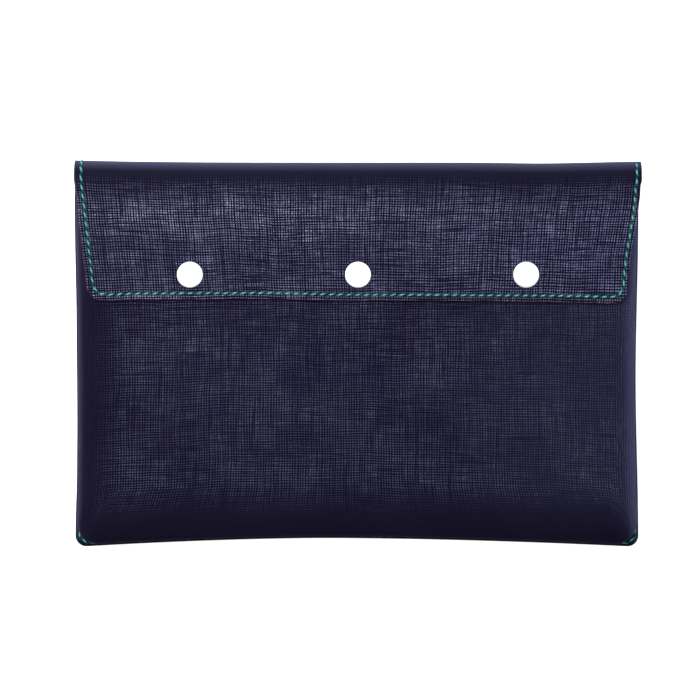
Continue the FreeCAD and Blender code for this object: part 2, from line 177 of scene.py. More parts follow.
def settle_flap(x, y):
    """The flap's lower edge hangs past the snaps, and sits a little askew.

    Returns x, y and the height that is added to the flap's.
    """
    low = ease((34 - y) / 9)
    shift = low * (0.5 * (1 - (x / 120) ** 2) - 1.2 * np.clip(x / 120, 0, None) ** 2)
    sag = 0.85 * ease((x + 48) / 48) - 0.28 * ease((x - 50) / 45) + 0.45 * ease((-105 - x) / 15)
    shift = shift - sag * ease((39 - y) / 10)
    # the right edge is tucked in above its corner, and both are pulled in under the fold
    tuck = -1.1 * ease((x - 100) / 25) * hill(y, 42, 13)
    pull = np.where(x < 0, 0.25, 0.6) * hill(y, 79, 5)
    pull = pull * np.sign(x) * ease((np.abs(x) - 90) / 35) * ease((FOLD_Y - y) / 3)
    # the lower edge and both ends droop onto the front
    drop = 0.5 * np.clip((31 - y) / 6.5, 0, None) ** 2
    drop = drop + 0.8 * ease((np.abs(x) - 95) / 45) * ease((FOLD_Y - y) / 30)
    away = ease((FOLD_Y - y) / 12)
    return x + tuck * away - pull, y + shift, -drop + ripple(x, y) * away


def fold_dip(x):
    """How far the crest of the fold sags between its ends."""
    hump = 0.45 * hill(x, 88, 22)
    left = 1.05 * np.clip(-x / CUT_HALF, 0, None) ** 3.5
    right = 0.5 * np.clip(x / CUT_HALF, 0, None) ** 6
    return 1.05 + hump - left - right


def cut_scale(v):
    """Width of the cut at v, as a share of its full width."""
    y = FLAP_START + FOLD_Y - v
    share = (TAPER_Y - y) / (TAPER_Y - FLAP_LOW[1])
    taper = 0.5 * (share + np.sqrt(share * share + 0.005)) * ease((FOLD_Y - y) / 12)
    waist = (CUT_HALF - SEAM_HALF) * ease((FOLD_Y - v) / 8)
    return 1 - (taper * (CUT_HALF - FLAP_EDGE_HALF) + waist) / CUT_HALF


def wrap(flat, lift):
    """Places of points of the flat cut once it is folded, at a height above its grain side."""
    x, v = flat[..., 0] * cut_scale(flat[..., 1]), flat[..., 1]
    past = v - FOLD_Y
    angle = np.clip(past / FOLD_OUTER, 0, math.pi)
    back_y = FOLD_Y + np.minimum(past, 0)
    flap_y = FOLD_Y - np.maximum(past - FOLD_RUN, 0)
    back_x, back_rest = settle_body(x, back_y)
    flap_x, flap_rest, flap_z = settle_flap(x, flap_y)
    radius = FOLD_OUTER + lift
    y = back_rest + flap_rest - FOLD_Y + radius * np.sin(angle)
    z = FOLD_Z - radius * np.cos(angle) + flap_z
    y = y - fold_dip(x) * ease((y - 60) / 24)
    return np.stack([back_x + flap_x - x, y, z], axis=-1)


def toward_flap(v):
    """0 on the lower back, and 1 from the fold to the end of the flap."""
    return ease((v - 45) / 35)


def row_inset(v):
    """How far inside the edge the sewn row runs."""
    return SEAM_ROW_INSET + (FLAP_ROW_INSET - SEAM_ROW_INSET) * toward_flap(v)


def row_drift(v):
    """How far to the right of true the flap's row is sewn."""
    return FLAP_ROW_DRIFT * toward_flap(v)


# ---------------------------------------------------------------- meshes


class Skin:
    """A closed mesh that is collected row by row.

    Each point also carries its place on the flat cut, for the grain, and its edge paint.
    """

    def __init__(self):
        self.places, self.cuts, self.faces, self.count = [], [], [], 0

    def row(self, places, cuts, paint=0.0):
        first = self.count
        self.count += len(places)
        self.places.append(places)
        self.cuts.append(np.column_stack([cuts, np.full(len(places), paint)]))
        return np.arange(first, self.count)

    def bridge(self, one, other):
        """Faces between two rows of equal length."""
        self.faces.extend(zip(one[:-1], one[1:], other[1:], other[:-1]))

    def build(self, name, finish):
        return make_piece(
            name, np.concatenate(self.places), self.faces, np.concatenate(self.cuts), finish
        )


def make_piece(name, places, faces, cuts, finish):
    """A smooth mesh object in metres, whose normals point out of it."""
    mesh = bpy.data.meshes.new(name)
    mesh.from_pydata((places * MM).tolist(), [], [[int(i) for i in face] for face in faces])
    attribute = mesh.attributes.new("cut", "FLOAT_VECTOR", "POINT")
    attribute.data.foreach_set("vector", np.asarray(cuts, np.float32).ravel())
    made = bmesh.new()
    made.from_mesh(mesh)
    bmesh.ops.recalc_face_normals(made, faces=made.faces)
    made.to_mesh(mesh)
    made.free()
    mesh.shade_smooth()
    mesh.set_sharp_from_angle(angle=math.radians(50))
    piece = bpy.data.objects.new(name, mesh)
    bpy.context.scene.collection.objects.link(piece)
    slot_name, material = finish
    mesh.materials.append(material)
    return piece


def rim(half, length, corner_x, corner_y):
    """Flat points down the left edge of a leaf, round its lower corners and up its right."""
    side = np.linspace(0, length - corner_y, SIDE_STEPS, endpoint=False)
    turn = np.linspace(0, math.pi / 2, TURN_STEPS, endpoint=False)
    base = np.linspace(corner_x - half, half - corner_x, BASE_STEPS + 1)
    down = np.column_stack([np.full(SIDE_STEPS, -half), side])
    round_x = corner_x - half - corner_x * np.cos(turn)
    round_y = length - corner_y + corner_y * np.sin(turn)
    left = np.concatenate([down, np.column_stack([round_x, round_y])])
    bottom = np.column_stack([base, np.full(BASE_STEPS + 1, length)])
    return np.concatenate([left, bottom, left[::-1] * (-1, 1)])


def rim_outward():
    """Outward directions at the points of rim()."""
    turn = np.linspace(0, math.pi / 2, TURN_STEPS, endpoint=False)
    down = np.tile((-1.0, 0.0), (SIDE_STEPS, 1))
    left = np.concatenate([down, np.column_stack([-np.cos(turn), np.sin(turn)])])
    bottom = np.tile((0.0, 1.0), (BASE_STEPS + 1, 1))
    return np.concatenate([left, bottom, left[::-1] * (-1, 1)])


def coons(border):
    """A grid of flat points inside the innermost ring, whose upper edge is straight."""
    rows, columns = SIDE_STEPS + TURN_STEPS // 2, BASE_STEPS + TURN_STEPS
    left = border[: rows + 1]
    bottom = border[rows : rows + columns + 1]
    right = border[rows + columns :][::-1]
    across = (bottom[:, 0] - bottom[0, 0]) / (bottom[-1, 0] - bottom[0, 0])
    down = (left[:, 1] - left[0, 1]) / (left[-1, 1] - left[0, 1])
    top = left[0] + across[:, None] * (right[0] - left[0])
    s, t = down[:, None, None], across[None, :, None]
    corners = (1 - s) * ((1 - t) * top[0] + t * top[-1])
    corners = corners + s * ((1 - t) * bottom[0] + t * bottom[-1])
    return (1 - s) * top + s * bottom + (1 - t) * left[:, None] + t * right[:, None] - corners


def lay_face(skin, rings, patch):
    """One face of a shell.  Returns the closed loop of its outer points.

    rings are (places, cuts) from the rim inwards, and patch is the same for the grid that
    fills the last of them.
    """
    rows = [skin.row(*ring) for ring in rings]
    for one, other in zip(rows, rows[1:]):
        skin.bridge(one, other)
    places, cuts = patch
    depth, width = places.shape[0] - 1, places.shape[1] - 1
    last = rows[-1]
    grid = np.zeros((depth + 1, width + 1), int)
    grid[:, 0] = last[: depth + 1]
    grid[depth] = last[depth : depth + width + 1]
    grid[:, width] = last[depth + width :][::-1]
    inside = slice(0, depth), slice(1, width)
    inner = skin.row(places[inside].reshape(-1, 3), cuts[inside].reshape(-1, 2))
    grid[inside] = inner.reshape(depth, width - 1)
    for one, other in zip(grid, grid[1:]):
        skin.bridge(other, one)
    right = [row[-1] for row in rows[1:]]
    left = [row[0] for row in rows[1:-1]][::-1]
    return np.concatenate([rows[0], right, grid[0, 1:width][::-1], [last[0]], left])


def loop_outward(ring_count, open_edge):
    """Outward directions for the loop that lay_face returns."""
    extra = 2 * (ring_count - 1) + BASE_STEPS + TURN_STEPS - 1
    outward = np.concatenate([rim_outward(), np.tile(open_edge, (extra, 1))])
    last = len(rim_outward()) - 1
    outward[0] += open_edge
    outward[last] += open_edge
    return np.column_stack([outward[:, 0], -outward[:, 1], outward[:, 0] * 0])


def close_edge(skin, outer, inner, outward, bulge, paint):
    """A rounded, painted edge between the loops of two faces."""
    places = np.concatenate(skin.places)
    cuts = np.concatenate(skin.cuts)[outer][:, :2]
    middle, half = (places[outer] + places[inner]) / 2, (places[outer] - places[inner]) / 2
    rows = [outer]
    for step in range(1, EDGE_STEPS):
        angle = math.pi * step / EDGE_STEPS
        edge = middle + half * math.cos(angle) + outward * bulge * math.sin(angle)
        rows.append(skin.row(edge, cuts, paint))
    rows.append(inner)
    for one, other in zip(rows, rows[1:]):
        skin.bridge(np.append(one, one[0]), np.append(other, other[0]))


# ---------------------------------------------------------------- back, fold and flap


def channel(inset, v):
    """How deep the leather is drawn down along the sewn row."""
    return CHANNEL * hill(inset, row_inset(v), CHANNEL_REACH)


def leaf(name, start, length, direction, corner, top, thickness, margin, finish, bulge, paint):
    """A flat leaf of the cut, from the fold line at start to its rounded end."""
    insets = margin + np.array([bulge, *RING_INSETS])

    def flat_ring(inset):
        radius = max(corner - inset, 1.5)
        return rim(CUT_HALF - inset, length - inset, radius, radius)

    def laid(flat, depth):
        on_cut = np.stack([flat[..., 0], start + direction * flat[..., 1]], axis=-1)
        aside = flat[..., 0] - row_drift(on_cut[..., 1])
        beside = np.minimum(CUT_HALF - np.abs(aside), length - flat[..., 1])
        lift = top - depth
        if top == 0 and depth == 0:
            lift = lift - channel(beside, on_cut[..., 1])
        return wrap(on_cut, lift), on_cut

    skin = Skin()
    loops = []
    for depth in (0, thickness):
        rings = [laid(flat_ring(inset), depth) for inset in insets]
        loops.append(lay_face(skin, rings, laid(coons(flat_ring(insets[-1])), depth)))
    close_edge(skin, *loops, loop_outward(len(insets), (0.0, 0.0)), bulge, paint)
    return skin.build(name, finish)


def fold_strip(name, start, end, top, thickness, margin, finish, bulge, paint):
    """Part of the fold between two angles, as a closed band swept round it."""
    insets = margin + np.array([bulge, *RING_INSETS])
    inner = np.linspace(insets[-1] - CUT_HALF, CUT_HALF - insets[-1], 90)[1:-1]
    across = np.concatenate([insets - CUT_HALF, inner, (CUT_HALF - insets)[::-1]])
    half_turn = np.linspace(0, math.pi, EDGE_STEPS + 1)[1:-1]
    out = bulge * np.sin(half_turn)
    x = np.concatenate([across, across[-1] + out, across[::-1], across[0] - out])
    down = thickness * (1 - np.cos(half_turn)) / 2
    up = thickness * (1 + np.cos(half_turn)) / 2
    depth = np.concatenate([0 * across, down, 0 * across + thickness, up])
    on_edge = np.abs(x) > CUT_HALF - insets[0] + 1e-6
    skin = Skin()
    rows = []
    for angle in np.linspace(start, end, 25):
        v = FOLD_Y + FOLD_OUTER * angle
        flat = np.column_stack([x, np.full(len(x), v)])
        lift = top - depth
        if top == 0:
            lift = lift - channel(CUT_HALF - np.abs(x - row_drift(v)), v) * (depth == 0)
        rows.append(skin.row(wrap(flat, lift), flat))
        skin.cuts[-1][:, 2] = paint * on_edge
    for one, other in zip(rows, rows[1:]):
        skin.bridge(np.append(one, one[0]), np.append(other, other[0]))
    width, turned = len(across), len(half_turn)
    for row in (rows[0], rows[-1]):
        outer, inner = row[:width], row[width + turned : 2 * width + turned][::-1]
        skin.bridge(outer, inner)
        skin.faces.append((outer[-1], *row[width : width + turned], inner[-1]))
        skin.faces.append((inner[0], *row[2 * width + turned :], outer[0]))
    return skin.build(name, finish)


FOLD_PIECES = (
    ("low", "root", "fold_1"),
    ("middle", "fold_1", "fold_2"),
    ("high", "fold_2", "flap"),
)


def blend_at_fold(piece):
    """The piece's placement is baked into its mesh; nothing ties it to the joint's bodies."""
    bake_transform(piece)


def make_cover(leather, suede):
    """The one leather cut, and the suede glued inside it."""
    layers = (
        ("leather", 0.0, LEATHER, 0.0, leather, EDGE_BULGE, 1.0),
        ("suede", -LEATHER - GLUE, LINING, 0.15, suede, 0.1, 0.0),
    )
    for layer, top, thickness, margin, finish, bulge, paint in layers:
        rest = (top, thickness, margin, finish, bulge, paint)
        back = leaf(f"back_{layer}", FOLD_Y, BACK_LENGTH, -1, SEAM_CORNER, *rest)
        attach(back, "root")
        flap = leaf(f"flap_{layer}", FLAP_START, FLAP_LENGTH, 1, FLAP_CORNER, *rest)
        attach(flap, "flap")
        folds = []
        for index, (place, _, _) in enumerate(FOLD_PIECES):
            name = f"fold_{layer}_{place}"
            strip = fold_strip(name, index * TURN, (index + 1) * TURN, *rest)
            blend_at_fold(strip)
            folds.append(strip)
        cad = {"leather": "panel", "suede": "lining"}[layer]
        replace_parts(back, f"back_{cad}")
        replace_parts(flap, f"flap_{cad}")
        kind = {"leather": "leather", "suede": "lining"}[layer]
        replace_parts(folds[0], f"fold_{kind}_1")
        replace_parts(folds[2], f"fold_{kind}_2")


# ---------------------------------------------------------------- front tray


def tray_levels():
    """Rings of the tray from the flange's edge inwards: insets, height and corner radii."""
    levels = []
    for inset in (EDGE_BULGE, 0.8, 1.1, 1.5, 1.9, 2.4, FOOT_INSET):
        radius = max(SEAM_CORNER - inset, 1.5)
        height = FLANGE_TOP - channel(inset, SEAM_Y)
        levels.append((inset, inset, height, radius, radius))
    crease, open_angle = 0.45, math.radians(125)
    for angle in np.linspace(0, open_angle, 6)[1:]:
        inset = FOOT_INSET + crease * math.sin(angle)
        height = FLANGE_TOP + crease * (1 - math.cos(angle))
        share = angle / open_angle
        corner = (SEAM_CORNER - FOOT_INSET) * (1 - share) + (BULGE_CORNER - inset) * share
        levels.append((inset, inset, height, corner, corner))
    start = np.array([levels[-1][0], levels[-1][2]])
    heading = np.array([math.cos(open_angle), math.sin(open_angle)])
    end = np.array([BULGE_INSET, BULGE_Z])
    bows = (start, start + 1.3 * heading, end - (0, 1.7), end)
    for t in np.linspace(0, 1, 9)[1:]:
        weights = ((1 - t) ** 3, 3 * t * (1 - t) ** 2, 3 * t * t * (1 - t), t**3)
        inset, height = sum(weight * bow for weight, bow in zip(weights, bows))
        levels.append((inset, inset, height, BULGE_CORNER - inset, BULGE_CORNER - inset))
    corner = BULGE_CORNER - BULGE_INSET
    for angle in np.linspace(0, math.pi / 2, 19)[1:]:
        reach = 1 - math.cos(angle)
        height = BULGE_Z + (FRONT_TOP - BULGE_Z) * math.sin(angle)
        side = BULGE_INSET + SIDE_SHOULDER * reach
        lower = BULGE_INSET + LOWER_SHOULDER * reach
        levels.append((side, lower, height, corner - reach, corner + 6 * reach))
    return levels


def front_height(x, y):
    """Height of the tray's top, which is crowned below the flap and flat under it."""
    across = np.clip(1 - (x / (SEAM_HALF - SIDE_SHOULDER)) ** 2, 0, None) ** 2
    down = ease((28 - y) / 45) * ease((y - SEAM_Y - LOWER_SHOULDER) / 40)
    return FRONT_TOP + CROWN * across * down + ripple(x + 60, y) * ease((28 - y) / 20) * across


def tray_face():
    """Flat rings and grid of the tray with their heights, and their places on its own cut."""
    levels = tray_levels()
    outward = rim_outward()
    heights = np.array([level[2] for level in levels])
    runs = []
    for insets in np.array([level[:2] for level in levels]).T:
        steps = np.hypot(np.diff(insets), np.diff(heights))
        runs.append(np.append(np.cumsum(steps[::-1])[::-1], 0.0))
    side, lower, _, corner_x, corner_y = levels[-1]
    innermost = rim(SEAM_HALF - side, MOUTH_LENGTH - lower, corner_x, corner_y)
    rings = []
    for (side, lower, height, corner_x, corner_y), reach in zip(levels, np.transpose(runs)):
        flat = rim(SEAM_HALF - side, MOUTH_LENGTH - lower, corner_x, corner_y)
        places = np.column_stack([flat[:, 0], MOUTH_Y - flat[:, 1], np.full(len(flat), height)])
        rings.append((places, innermost + outward * reach + FRONT_ON_HIDE))
    grid = coons(innermost)
    x, y = grid[..., 0], MOUTH_Y - grid[..., 1]
    patch = np.stack([x, y, front_height(x, y)], axis=-1)
    return rings, (patch, grid + FRONT_ON_HIDE)


def settled(places):
    x, y = settle_body(places[..., 0], places[..., 1])
    return np.stack([x, y, places[..., 2]], axis=-1)


def vertex_normals(places, faces):
    """Normals of an open face of quads that lies upwards."""
    quads = np.array(faces)
    across = places[quads[:, 2]] - places[quads[:, 0]]
    along = places[quads[:, 3]] - places[quads[:, 1]]
    flat = np.cross(across, along)
    normals = np.zeros_like(places)
    for corner in range(4):
        np.add.at(normals, quads[:, corner], flat)
    normals /= np.linalg.norm(normals, axis=1)[:, None]
    return normals * (1 if normals[:, 2].sum() > 0 else -1)


def tray_shell(name, outside, inside, finish, bulge, paint):
    """A layer of the tray between two depths below its grain side."""
    rings, patch = tray_face()
    whole = Skin()
    lay_face(whole, rings, patch)
    normals = vertex_normals(np.concatenate(whole.places), whole.faces)

    def at_depth(depth):
        moved, first = [], 0
        for places, cuts in rings:
            push = normals[first : first + len(places)]
            moved.append((settled(places - push * depth), cuts))
            first += len(places)
        places, cuts = patch
        push = np.zeros_like(places)
        rows, columns = places.shape[0] - 1, places.shape[1] - 1
        inner = normals[first:].reshape(rows, columns - 1, 3)
        push[:rows, 1:columns] = inner
        return moved, (settled(places - push * depth), cuts)

    skin = Skin()
    loops = [lay_face(skin, *at_depth(depth)) for depth in (outside, inside)]
    close_edge(skin, *loops, loop_outward(len(rings), (0.0, -1.0)), bulge, paint)
    return skin.build(name, finish)


def make_front(leather, suede):
    front = tray_shell("front_leather", 0.0, LEATHER, leather, EDGE_BULGE, 1.0)
    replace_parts(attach(front, "root"), "front_panel")
    depth = LEATHER + GLUE
    lining = tray_shell("front_suede", depth, depth + LINING, suede, 0.1, 0.0)
    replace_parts(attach(lining, "root"), "front_lining")


# ---------------------------------------------------------------- stitches


def run_along(path):
    """Distance along a path to each of its points."""
    return np.concatenate([[0], np.cumsum(np.linalg.norm(np.diff(path, axis=0), axis=1))])


def at_runs(wanted, run, values):
    """Pairs of numbers that are known at some distances, at the wanted ones."""
    return np.column_stack([np.interp(wanted, run, values[:, axis]) for axis in (0, 1)])


def cut_loop():
    """The sewn row's closed path on the flat cut, inset from its edge."""
    quarter = np.linspace(0, math.pi / 2, 13)
    corners = (
        (-CUT_HALF + FLAP_CORNER, CUT_END - FLAP_CORNER, FLAP_CORNER, math.pi),
        (CUT_HALF - FLAP_CORNER, CUT_END - FLAP_CORNER, FLAP_CORNER, math.pi / 2),
        (CUT_HALF - SEAM_CORNER, SEAM_Y + SEAM_CORNER, SEAM_CORNER, 0.0),
        (-CUT_HALF + SEAM_CORNER, SEAM_Y + SEAM_CORNER, SEAM_CORNER, -math.pi / 2),
    )
    points, normals = [], []
    for x, v, radius, start in corners:
        out = np.column_stack([np.cos(start - quarter), np.sin(start - quarter)])
        points.append((x, v) + radius * out)
        normals.append(out)
    points, normals = np.concatenate(points), np.concatenate(normals)
    points = np.concatenate([points, points[:1]])
    normals = np.concatenate([normals, normals[:1]])
    run = run_along(points)
    fine = np.linspace(0, run[-1], LOOP_STEPS)
    points, normals = at_runs(fine, run, points), at_runs(fine, run, normals)
    # the seam cuts across its two corners
    across = 1.6 * np.abs(normals[:, 0] * normals[:, 1]) * (points[:, 1] < 0)
    points = points - normals * (row_inset(points[:, 1]) + across)[:, None]
    points[:, 0] += row_drift(points[:, 1])
    return points


def stitches_along(path):
    """Both holes of every stitch along a flat path."""
    run = run_along(path)
    count = round(run[-1] / PITCH)
    places = at_runs(np.linspace(0, run[-1], count + 1), run, path)
    return places[:-1], places[1:]


def sew(name, starts, ends, place, finish, around=12, along=12):
    """One mesh of separate stitches of twisted thread, each from hole to hole.

    place(flat, lift) says where a flat point at some height above the leather is.
    """
    share = np.linspace(-1, 1, along + 1)[None, :, None]
    turn = np.linspace(0, 2 * math.pi, around, endpoint=False)[None, None, :]
    heading = ends - starts
    heading = heading / np.linalg.norm(heading, axis=1)[:, None]
    aside = np.column_stack([heading[:, 1], -heading[:, 0]])[:, None, None, :]
    middle = ((starts + ends) / 2)[:, None, None, :]
    reach = 0.5 * (ends - starts)[:, None, None, :]
    # a number between 0 and 1 for each stitch, without any pattern
    index = np.arange(len(starts))
    wobble = (0.5 + 0.5 * np.sin(index * 12.9898) * np.cos(index * 4.1414))[:, None, None]
    # two plies twist round each other, and the thread thins where it enters the leather
    ply = PLY_DEPTH * np.cos(2 * turn - PLY_TWIST * share + 6 * wobble)
    radius = THREAD_RADIUS * (1 - 0.3 * share**6) * (1 + ply)
    # each stitch lies askew, less so to the right, and dips at its holes
    lean = (0.30 + 0.12 * wobble) * share * (1 - 0.45 * ease(middle[..., 0] / 60))
    side = lean + radius * np.cos(turn)
    lift = (0.02 + 0.08 * wobble) - 0.36 * share**4 + radius * np.sin(turn)
    flat = middle + reach * share[..., None] + aside * side[..., None]
    places = place(flat, lift).reshape(-1, 3)
    ring = around * (along + 1)
    faces = []
    for first in range(0, len(starts) * ring, ring):
        for step in range(along):
            low = first + step * around
            for k in range(around):
                after = (k + 1) % around
                faces.append((low + k, low + after, low + around + after, low + around + k))
        faces.append(tuple(range(first, first + around)))
        faces.append(tuple(range(first + ring - around, first + ring)))
    shape = (len(starts), along + 1, around)
    carried = [np.broadcast_to(value, shape) for value in (share * PITCH / 2, turn, wobble)]
    return make_piece(name, places, faces, np.stack(carried, axis=-1).reshape(-1, 3), finish)


def on_grain(flat, lift):
    round_fold = np.clip((flat[..., 1] - FOLD_Y) / FOLD_RUN, 0, 1)
    return wrap(flat, lift - 0.4 * np.sin(math.pi * round_fold))


def on_suede(flat, lift):
    return wrap(flat, -(LEATHER + GLUE + LINING) - lift)


def on_flange(flat, lift):
    places = np.stack([flat[..., 0] * SEAM_HALF / CUT_HALF, flat[..., 1], lift + FLANGE_TOP], -1)
    return settled(places)


def on_front(flat, lift):
    x, y = flat[..., 0], flat[..., 1]
    return settled(np.stack([x, y, front_height(x, y) + lift], axis=-1))


def make_stitches(thread):
    starts, ends = stitches_along(cut_loop())
    middle = (starts + ends)[:, 1] / 2

    def part(low, high):
        inside = (middle >= low) & (middle < high)
        return starts[inside], ends[inside]

    flap = part(FLAP_START, CUT_END)
    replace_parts(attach(sew("flap_stitches", *flap, on_grain, thread), "flap"), "flap_stitching")
    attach(sew("flap_stitches_inside", *flap, on_suede, thread), "flap")
    for index, (where, _, _) in enumerate(FOLD_PIECES):
        low = FOLD_Y + FOLD_OUTER * TURN * index
        strip = part(low, low + FOLD_OUTER * TURN)
        for side, place in (("", on_grain), ("_inside", on_suede)):
            blend_at_fold(sew(f"fold_stitches_{where}{side}", *strip, place, thread))
    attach(sew("back_stitches", *part(SEAM_Y, FOLD_Y), on_grain, thread), "root")
    seam = sew("seam_stitches", *part(SEAM_Y, MOUTH_Y - 3), on_flange, thread)
    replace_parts(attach(seam, "root"), "seam_stitching")
    half = SEAM_HALF - SIDE_SHOULDER - 3
    row = np.array([(-half, MOUTH_Y - MOUTH_ROW_INSET), (half, MOUTH_Y - MOUTH_ROW_INSET)])
    mouth = sew("mouth_stitches", *stitches_along(row), on_front, thread)
    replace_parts(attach(mouth, "root"), "mouth_stitching")


# ---------------------------------------------------------------- snaps


def rounded(corners, steps=6):
    """A section with each of its (radius, height, rounding) corners rounded off."""
    points = []
    for index, (x, z, size) in enumerate(corners):
        here = np.array([x, z], float)
        if size == 0 or index in (0, len(corners) - 1):
            points.append(here)
            continue
        to_before = np.array(corners[index - 1][:2]) - here
        to_after = np.array(corners[index + 1][:2]) - here
        to_before = to_before / np.linalg.norm(to_before)
        to_after = to_after / np.linalg.norm(to_after)
        half = math.acos(np.clip(to_before @ to_after, -1, 1)) / 2
        reach = size / math.tan(half)
        bisector = (to_before + to_after) / np.linalg.norm(to_before + to_after)
        centre = here + bisector * size / math.sin(half)
        first = here + to_before * reach - centre
        last = here + to_after * reach - centre
        sweep = math.atan2(first[0] * last[1] - first[1] * last[0], first @ last)
        for angle in np.linspace(0, sweep, steps + 1):
            c, s = math.cos(angle), math.sin(angle)
            points.append(centre + (first[0] * c - first[1] * s, first[0] * s + first[1] * c))
    return np.array(points)


def lathe(name, section, centre, finish, steps=72):
    """A round piece from its half section, which starts and ends on the axis or closes."""
    turn = np.linspace(0, 2 * math.pi, steps, endpoint=False)
    skin = Skin()
    rows = []
    for radius, height in section:
        x, y = centre[0] + radius * np.cos(turn), centre[1] + radius * np.sin(turn)
        ring = np.column_stack([x, y, np.full(steps, height)])
        ring = ring[:1] if radius < 1e-6 else ring
        rows.append(skin.row(ring, ring[:, :2] - centre))
    hollow = len(rows[0]) > 1
    for one, other in zip(rows, rows[1:] + rows[:1] if hollow else rows[1:]):
        if len(one) == 1 or len(other) == 1:
            tip, row = (one[0], other) if len(one) == 1 else (other[0], one)
            skin.faces += [(row[k], row[(k + 1) % steps], tip) for k in range(steps)]
        else:
            skin.bridge(np.append(one, one[0]), np.append(other, other[0]))
    return skin.build(name, finish)


def cap_section(low, high, radius, seat):
    """The domed cap on the flap, its post, and the post's flattened head."""
    head = 0.45
    corners = [
        (0, low, 0),
        (1.6, low, 0.12),
        (1.6, low + head, 0.08),
        (1.2, low + head, 0),
        (1.2, seat, 0),
        (radius - 0.25, seat, 0.1),
        (radius, seat + 0.5, 0.3),
        (radius - 0.55, high - 0.38, 0.5),
        (radius * 0.5, high - 0.06, 4.0),
        (0, high, 0),
    ]
    return rounded(corners)


def socket_section(low, high, radius):
    """The socket under the flap: a ring with a lip that grips the stud."""
    corners = [
        (1.3, high, 0),
        (1.3, high - 0.5, 0.1),
        (2.9, high - 0.5, 0.2),
        (2.55, low + 0.7, 0.25),
        (2.75, low + 0.1, 0.15),
        (3.6, low, 0.15),
        (3.9, low + 0.9, 0.25),
        (radius - 0.5, low + 1.2, 0.3),
        (radius, high - 0.3, 0.15),
        (radius, high, 0),
    ]
    return rounded(corners)


def stud_section(low, high, radius):
    """The stud on the front: a plate with a hollow, slightly mushroomed nub."""
    corners = [
        (1.3, low, 0),
        (radius, low, 0),
        (radius, low + 0.55, 0.2),
        (3.4, low + 0.8, 0.4),
        (2.15, low + 0.85, 0.2),
        (2.1, low + 1.3, 0.2),
        (2.35, high - 0.5, 0.3),
        (2.1, high, 0.2),
        (1.7, high, 0.12),
        (1.65, low + 0.4, 0.1),
        (1.3, low + 0.4, 0),
    ]
    return rounded(corners)


def base_section(low, high, radius, under):
    """The cap inside the front, with its post up into the stud."""
    corners = [
        (0, low, 0),
        (radius - 0.3, low + 0.4, 0.4),
        (radius, under - 0.1, 0.1),
        (radius - 0.1, under, 0.05),
        (1.2, under, 0),
        (1.2, high - 0.45, 0),
        (1.6, high - 0.45, 0.08),
        (1.6, high, 0.1),
        (0, high, 0),
    ]
    return rounded(corners)


def make_snaps(plastic):
    front_under = FRONT_TOP - LEATHER - LINING - 0.05
    for place in SNAPS:
        shapes = {}
        for part in ("cap", "socket", "stud", "base"):
            low, high = box_mm(f"snap_{part}_{place}")
            centre, radius = (low + high)[:2] / 2, (high - low)[0] / 2
            shapes[part] = (centre, low[2], high[2], radius)
        centre = shapes["cap"][0]
        sections = {
            "cap": cap_section(*shapes["cap"][1:], FLAP_HIGH[2]),
            "socket": socket_section(*shapes["socket"][1:]),
            "stud": stud_section(*shapes["stud"][1:]),
            "base": base_section(*shapes["base"][1:], front_under),
        }
        for part, section in sections.items():
            piece = lathe(f"{part}_{place}", section, centre, plastic)
            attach(piece, "flap" if part in ("cap", "socket") else "root")
            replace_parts(piece, f"snap_{part}_{place}")


# ---------------------------------------------------------------- materials


class Graph:
    """A node material."""

    def __init__(self, name):
        self.material = bpy.data.materials.new(name)
        self.material.use_nodes = True
        self.tree = self.material.node_tree
        self.tree.nodes.clear()

    def put(self, socket, value):
        """Give a socket a value, or link it to the output that is given."""
        if isinstance(value, bpy.types.NodeSocket):
            self.tree.links.new(value, socket)
        else:
            socket.default_value = value

    def node(self, kind, inputs=(), output=0, **settings):
        """Add a node, and return one of its outputs."""
        made = self.tree.nodes.new("ShaderNode" + kind)
        for key, value in settings.items():
            setattr(made, key, value)
        pairs = inputs.items() if isinstance(inputs, dict) else enumerate(inputs)
        for key, value in pairs:
            self.put(made.inputs[key], value)
        return made.outputs[output]

    def math(self, operation, *values):
        return self.node("Math", values, operation=operation)

    def times(self, one, other):
        return self.math("MULTIPLY", one, other)

    def rest(self, value):
        """What is left of 1."""
        return self.math("SUBTRACT", 1.0, value)

    def noise(self, vector, scale, detail=1.0, roughness=0.5, flat=False):
        inputs = {"Vector": vector, "Scale": scale, "Detail": detail, "Roughness": roughness}
        return self.node("TexNoise", inputs, noise_dimensions="2D" if flat else "3D")

    def span(self, value, low, high, to_low=0.0, to_high=1.0):
        """Map low..high to to_low..to_high, and hold it there."""
        return self.node("MapRange", (value, low, high, to_low, to_high))

    def mix(self, share, one, other):
        """The first colour where share is 0, and the other where it is 1."""
        made = self.tree.nodes.new("ShaderNodeMix")
        made.data_type = "RGBA"
        self.put(made.inputs[0], share)
        for socket, colour in zip(made.inputs[6:8], (one, other)):
            self.put(socket, (*colour, 1) if isinstance(colour, tuple) else colour)
        return made.outputs[2]

    def bump(self, strength, distance, height):
        return self.node("Bump", {"Strength": strength, "Distance": distance, "Height": height})

    def cut(self):
        """What each mesh point carries: its place on the cut, or along and round its thread."""
        return self.node("Attribute", attribute_name="cut", output=1)

    def split(self, vector):
        """The three numbers of a vector."""
        parts = self.tree.nodes.new("ShaderNodeSeparateXYZ")
        self.tree.links.new(vector, parts.inputs[0])
        return parts.outputs

    def finish(self, **sockets):
        """A Principled shader; keys are its socket names with _ for spaces."""
        inputs = {key.replace("_", " "): value for key, value in sockets.items()}
        shader = self.node("BsdfPrincipled", inputs)
        out = self.tree.nodes.new("ShaderNodeOutputMaterial")
        self.tree.links.new(shader, out.inputs["Surface"])
        return self.material


